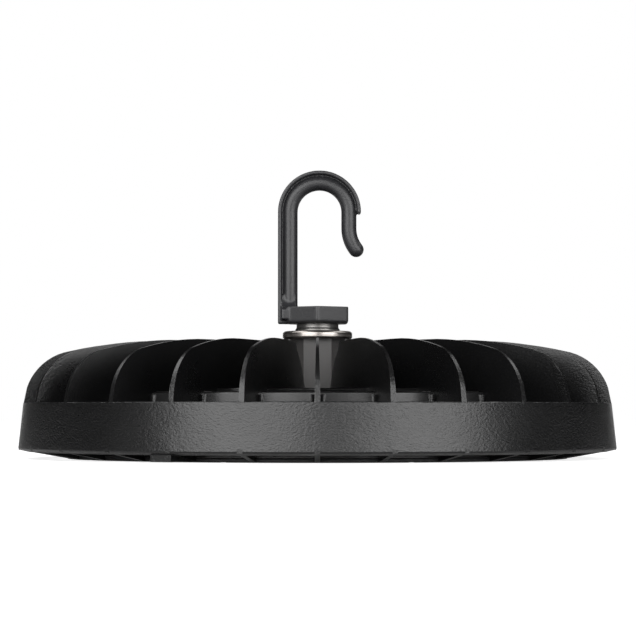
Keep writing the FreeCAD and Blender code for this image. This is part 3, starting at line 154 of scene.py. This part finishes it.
def powder_coat(name, dark, light, roughness, grain, depth):
    """Satin black powder coat with a fine orange peel."""
    made = Finish(name)
    patches, uneven, relief = orange_peel(made, roughness, grain)
    made.colours(patches, dark, light)
    made.rough(uneven)
    made.bump(relief, depth)
    return made.material


def housing_coat():
    """The coat is grained most on the rim, and smooth and duller on the hub, where its colour
    is painted paler as a highlight.
    """
    made = Finish("black_casting")
    uneven, relief = orange_peel(made, 0.27, 980.0)[1:]
    past_painted_hub = made.away_from_axis(HUB_REACH, 0.0)
    on_rim = made.away_from_axis(RIM_START, 0.3)
    # painted highlight: the base colour is much paler on the hub than on the rest of the coat
    made.colours(past_painted_hub, (0.045, 0.043, 0.042), (0.0032, 0.0032, 0.0034))
    made.rough(made.product(uneven, made.spread(past_painted_hub, 1.7, 1.0, 0.0, 1.0)))
    made.bump(made.product(made.product(relief, on_rim), past_painted_hub), 0.00017)
    return made.material


def moulded(name, dark, light, roughness=0.5):
    """Plastic or rubber with a fine moulded grain."""
    made = Finish(name)
    fine = made.noise(1400.0, 2.0)
    made.colours(made.noise(60.0, 3.0), dark, light)
    made.rough(made.spread(fine, roughness - 0.06, roughness + 0.06))
    made.bump(fine, 0.00004)
    return made.material


def turned(name, dark, light, roughness, lines=2600.0):
    """Metal with the fine rings that a lathe leaves about the axis."""
    made = Finish(name)
    rings = made.noise(lines, 2.0, 0.6, made.stretched((0.02, 0.02, 1.0)))
    stains = made.noise(90.0, 4.0)
    made.colours(stains, dark, light)
    made.rough(made.sum(made.spread(rings, roughness - 0.07, roughness + 0.08), stains, 0.1))
    made.bump(rings, 0.00003)
    made.plain(Metallic=1.0)
    return made.material


def clear_lens():
    """Clear moulded plastic, a little wavy."""
    made = Finish("lens_clear")
    made.plain(Base_Color=(0.93, 0.95, 0.96, 1.0), Transmission_Weight=1.0, IOR=1.58)
    made.rough(made.spread(made.noise(40.0, 3.0), 0.02, 0.07))
    made.bump(made.noise(160.0, 1.0), 0.00002)
    return made.material


FINISHES = {
    "black_casting": housing_coat(),
    "hook_black": powder_coat("hook_black", (0.012, 0.012, 0.013), (0.018, 0.018, 0.02),
                              0.34, 1300.0, 0.00007),
    "turned_steel": turned("turned_steel", (0.13, 0.125, 0.12), (0.2, 0.195, 0.19), 0.36),
    "polished_steel": turned("polished_steel", (0.27, 0.25, 0.235), (0.36, 0.335, 0.315),
                             0.24),
    "seal_rubber": moulded("seal_rubber", (0.012, 0.012, 0.012), (0.02, 0.02, 0.02), 0.7),
    "zinc_steel": turned("zinc_steel", (0.48, 0.48, 0.46), (0.66, 0.66, 0.64), 0.32),
    "gland_black": moulded("gland_black", (0.012, 0.012, 0.013), (0.022, 0.022, 0.023)),
    "bezel_black": powder_coat("bezel_black", (0.008, 0.008, 0.009), (0.014, 0.014, 0.015),
                               0.45, 900.0, 0.0001),
    "screw_steel": turned("screw_steel", (0.42, 0.42, 0.41), (0.6, 0.6, 0.59), 0.3),
    "bare_aluminium": turned("bare_aluminium", (0.6, 0.61, 0.62), (0.75, 0.76, 0.77),
                             0.38, 1200.0),
    "board_white": moulded("board_white", (0.78, 0.79, 0.78), (0.86, 0.87, 0.86), 0.35),
    "phosphor": moulded("phosphor", (0.82, 0.62, 0.12), (0.9, 0.74, 0.2), 0.4),
    "lead_insulation": moulded("lead_insulation", (0.42, 0.03, 0.02), (0.55, 0.05, 0.04),
                               0.45),
    "tray_plastic": moulded("tray_plastic", (0.05, 0.05, 0.055), (0.08, 0.08, 0.085)),
    "thermal_pad": moulded("thermal_pad", (0.3, 0.36, 0.48), (0.36, 0.43, 0.56), 0.75),
    "board_green": moulded("board_green", (0.02, 0.14, 0.04), (0.04, 0.2, 0.07), 0.35),
    "transformer_tape": moulded("transformer_tape", (0.68, 0.45, 0.04), (0.8, 0.58, 0.09),
                                0.3),
    "choke_copper": turned("choke_copper", (0.45, 0.18, 0.06), (0.62, 0.28, 0.1), 0.3),
    "capacitor_sleeve": moulded("capacitor_sleeve", (0.015, 0.015, 0.02),
                                (0.03, 0.03, 0.04), 0.25),
    "lens_clear": clear_lens(),
}


# ---------------------------------------------------------------- CAD nodes

def weld(thing):
    """Joins the corners of a node's faces, so that its skin is one."""
    thing.modifiers.new("weld", "WELD").merge_threshold = WELD_REACH


def soften(thing):
    """Rounds a node's sharp edges, as cast and plated edges are."""
    weld(thing)
    bevel = thing.modifiers.new("edges", "BEVEL")
    bevel.width = EDGE_ROUND
    bevel.segments = 2
    bevel.limit_method = "ANGLE"
    bevel.angle_limit = math.radians(EDGE_ANGLE)
    bevel.use_clamp_overlap = True
    normals = thing.modifiers.new("normals", "WEIGHTED_NORMAL")
    normals.weight = 80
    normals.keep_sharp = True


def remould(thing):
    """Makes a node's skin again from small cells and smooths it, as a moulding is round."""
    weld(thing)
    skin = thing.modifiers.new("skin", "REMESH")
    skin.mode = "VOXEL"
    skin.voxel_size = HOOK_CELL
    skin.use_smooth_shade = True
    even = thing.modifiers.new("even", "SMOOTH")
    even.factor = 0.5
    even.iterations = HOOK_SMOOTHINGS


for part in frame["record"]["subparts"]:
    slots = nodes[part["node"]].data.materials
    slots.clear()
    slots.append(FINISHES[part["material_slot"]])

remould(nodes["hook"])
for name in ("housing", "hook_collar", "hook_washer", "lens_ring"):
    soften(nodes[name])


# ---------------------------------------------------------------- surroundings

def surroundings():
    """White to the camera. Light and gloss meet a dim room with a white window behind."""
    world = bpy.data.worlds.new("studio")
    bpy.context.scene.world = world
    world.use_nodes = True
    tree = world.node_tree
    tree.nodes.clear()
    place = tree.nodes.new("ShaderNodeTexCoord")
    split = tree.nodes.new("ShaderNodeSeparateXYZ")
    tree.links.new(place.outputs["Generated"], split.inputs["Vector"])
    window = tree.nodes.new("ShaderNodeMapRange")
    tree.links.new(split.outputs["Y"], window.inputs["Value"])
    window.inputs["From Min"].default_value = 0.91
    window.inputs["From Max"].default_value = 0.97
    window.inputs["To Min"].default_value = 0.02
    window.inputs["To Max"].default_value = 1.0
    around = tree.nodes.new("ShaderNodeBackground")
    tree.links.new(window.outputs["Result"], around.inputs["Strength"])
    seen = tree.nodes.new("ShaderNodeBackground")
    seen.inputs["Strength"].default_value = 1.0
    for background in (around, seen):
        background.inputs["Color"].default_value = (1.0, 1.0, 1.0, 1.0)
    path = tree.nodes.new("ShaderNodeLightPath")
    mix = tree.nodes.new("ShaderNodeMixShader")
    tree.links.new(path.outputs["Is Camera Ray"], mix.inputs["Fac"])
    tree.links.new(around.outputs["Background"], mix.inputs[1])
    tree.links.new(seen.outputs["Background"], mix.inputs[2])
    out = tree.nodes.new("ShaderNodeOutputWorld")
    tree.links.new(mix.outputs["Shader"], out.inputs["Surface"])


def floor_paint():
    """Pale and matt. It adds white to the camera, a little less near the object."""
    paint = Finish("floor")
    paint.tree.nodes.remove(paint.shader)
    matt = paint.node("ShaderNodeBsdfDiffuse")
    matt.inputs["Color"].default_value = (0.6, 0.6, 0.6, 1.0)
    path = paint.node("ShaderNodeLightPath")
    seen = paint.product(paint.away_from_axis(FLOOR_NEAR, 0.8), path.outputs["Is Camera Ray"])
    glow = paint.node("ShaderNodeEmission")
    paint.link(paint.sum(seen, path.outputs["Is Glossy Ray"], 0.06), glow.inputs["Strength"])
    both = paint.node("ShaderNodeAddShader")
    paint.link(matt.outputs["BSDF"], both.inputs[0])
    paint.link(glow.outputs["Emission"], both.inputs[1])
    paint.link(both.outputs["Shader"], paint.out.inputs["Surface"])
    return paint.material


def floor():
    """A plain pale floor, seen as white, that keeps a soft shadow of the object."""
    mesh = bpy.data.meshes.new("floor")
    corners = [(-FLOOR_HALF, -FLOOR_HALF, 0.0), (FLOOR_HALF, -FLOOR_HALF, 0.0),
               (FLOOR_HALF, FLOOR_HALF, 0.0), (-FLOOR_HALF, FLOOR_HALF, 0.0)]
    mesh.from_pydata(corners, [], [(0, 1, 2, 3)])
    mesh.materials.append(floor_paint())
    made = bpy.data.objects.new("floor", mesh)
    bpy.context.scene.collection.objects.link(made)
    made.location.z = -FLOOR_DROP


def soft_box(name, azimuth, elevation, distance, size, radiance):
    """A square lamp that faces the object. azimuth is from the front, right positive."""
    lamp = bpy.data.lights.new(name, "AREA")
    lamp.shape = "RECTANGLE"
    lamp.size, lamp.size_y = size
    lamp.energy = radiance * math.pi * size[0] * size[1]
    made = bpy.data.objects.new(name, lamp)
    bpy.context.scene.collection.objects.link(made)
    turn, rise = math.radians(azimuth), math.radians(elevation)
    back = Vector((math.sin(turn) * math.cos(rise), -math.cos(turn) * math.cos(rise),
                   math.sin(rise)))
    made.location = LAMP_AIM + back * distance
    made.rotation_mode = "QUATERNION"
    made.rotation_quaternion = back.to_track_quat("Z", "Y")
    made.visible_camera = False


def camera():
    """The photograph's view: low, level with the ring, tipped up a little."""
    lens = bpy.data.cameras.new("camera")
    lens.sensor_width = 36.0
    lens.lens = CAMERA_LENS
    made = bpy.data.objects.new("camera", lens)
    bpy.context.scene.collection.objects.link(made)
    made.location = CAMERA_PLACE
    made.rotation_euler = (math.radians(90.0 + CAMERA_TILT), 0.0, 0.0)
    bpy.context.scene.camera = made


camera()
surroundings()
floor()
soft_box("left", -28.0, 19.0, 1.8, (1.65, 1.45), 4.9)
soft_box("right", 37.5, 14.0, 1.8, (1.55, 1.1), 5.0)
soft_box("high_left", -95.0, 56.0, 1.5, (1.0, 0.8), 3.4)
soft_box("high_right", 110.0, 50.0, 1.5, (0.8, 0.7), 2.6)

bpy.context.scene.view_settings.view_transform = "Standard"
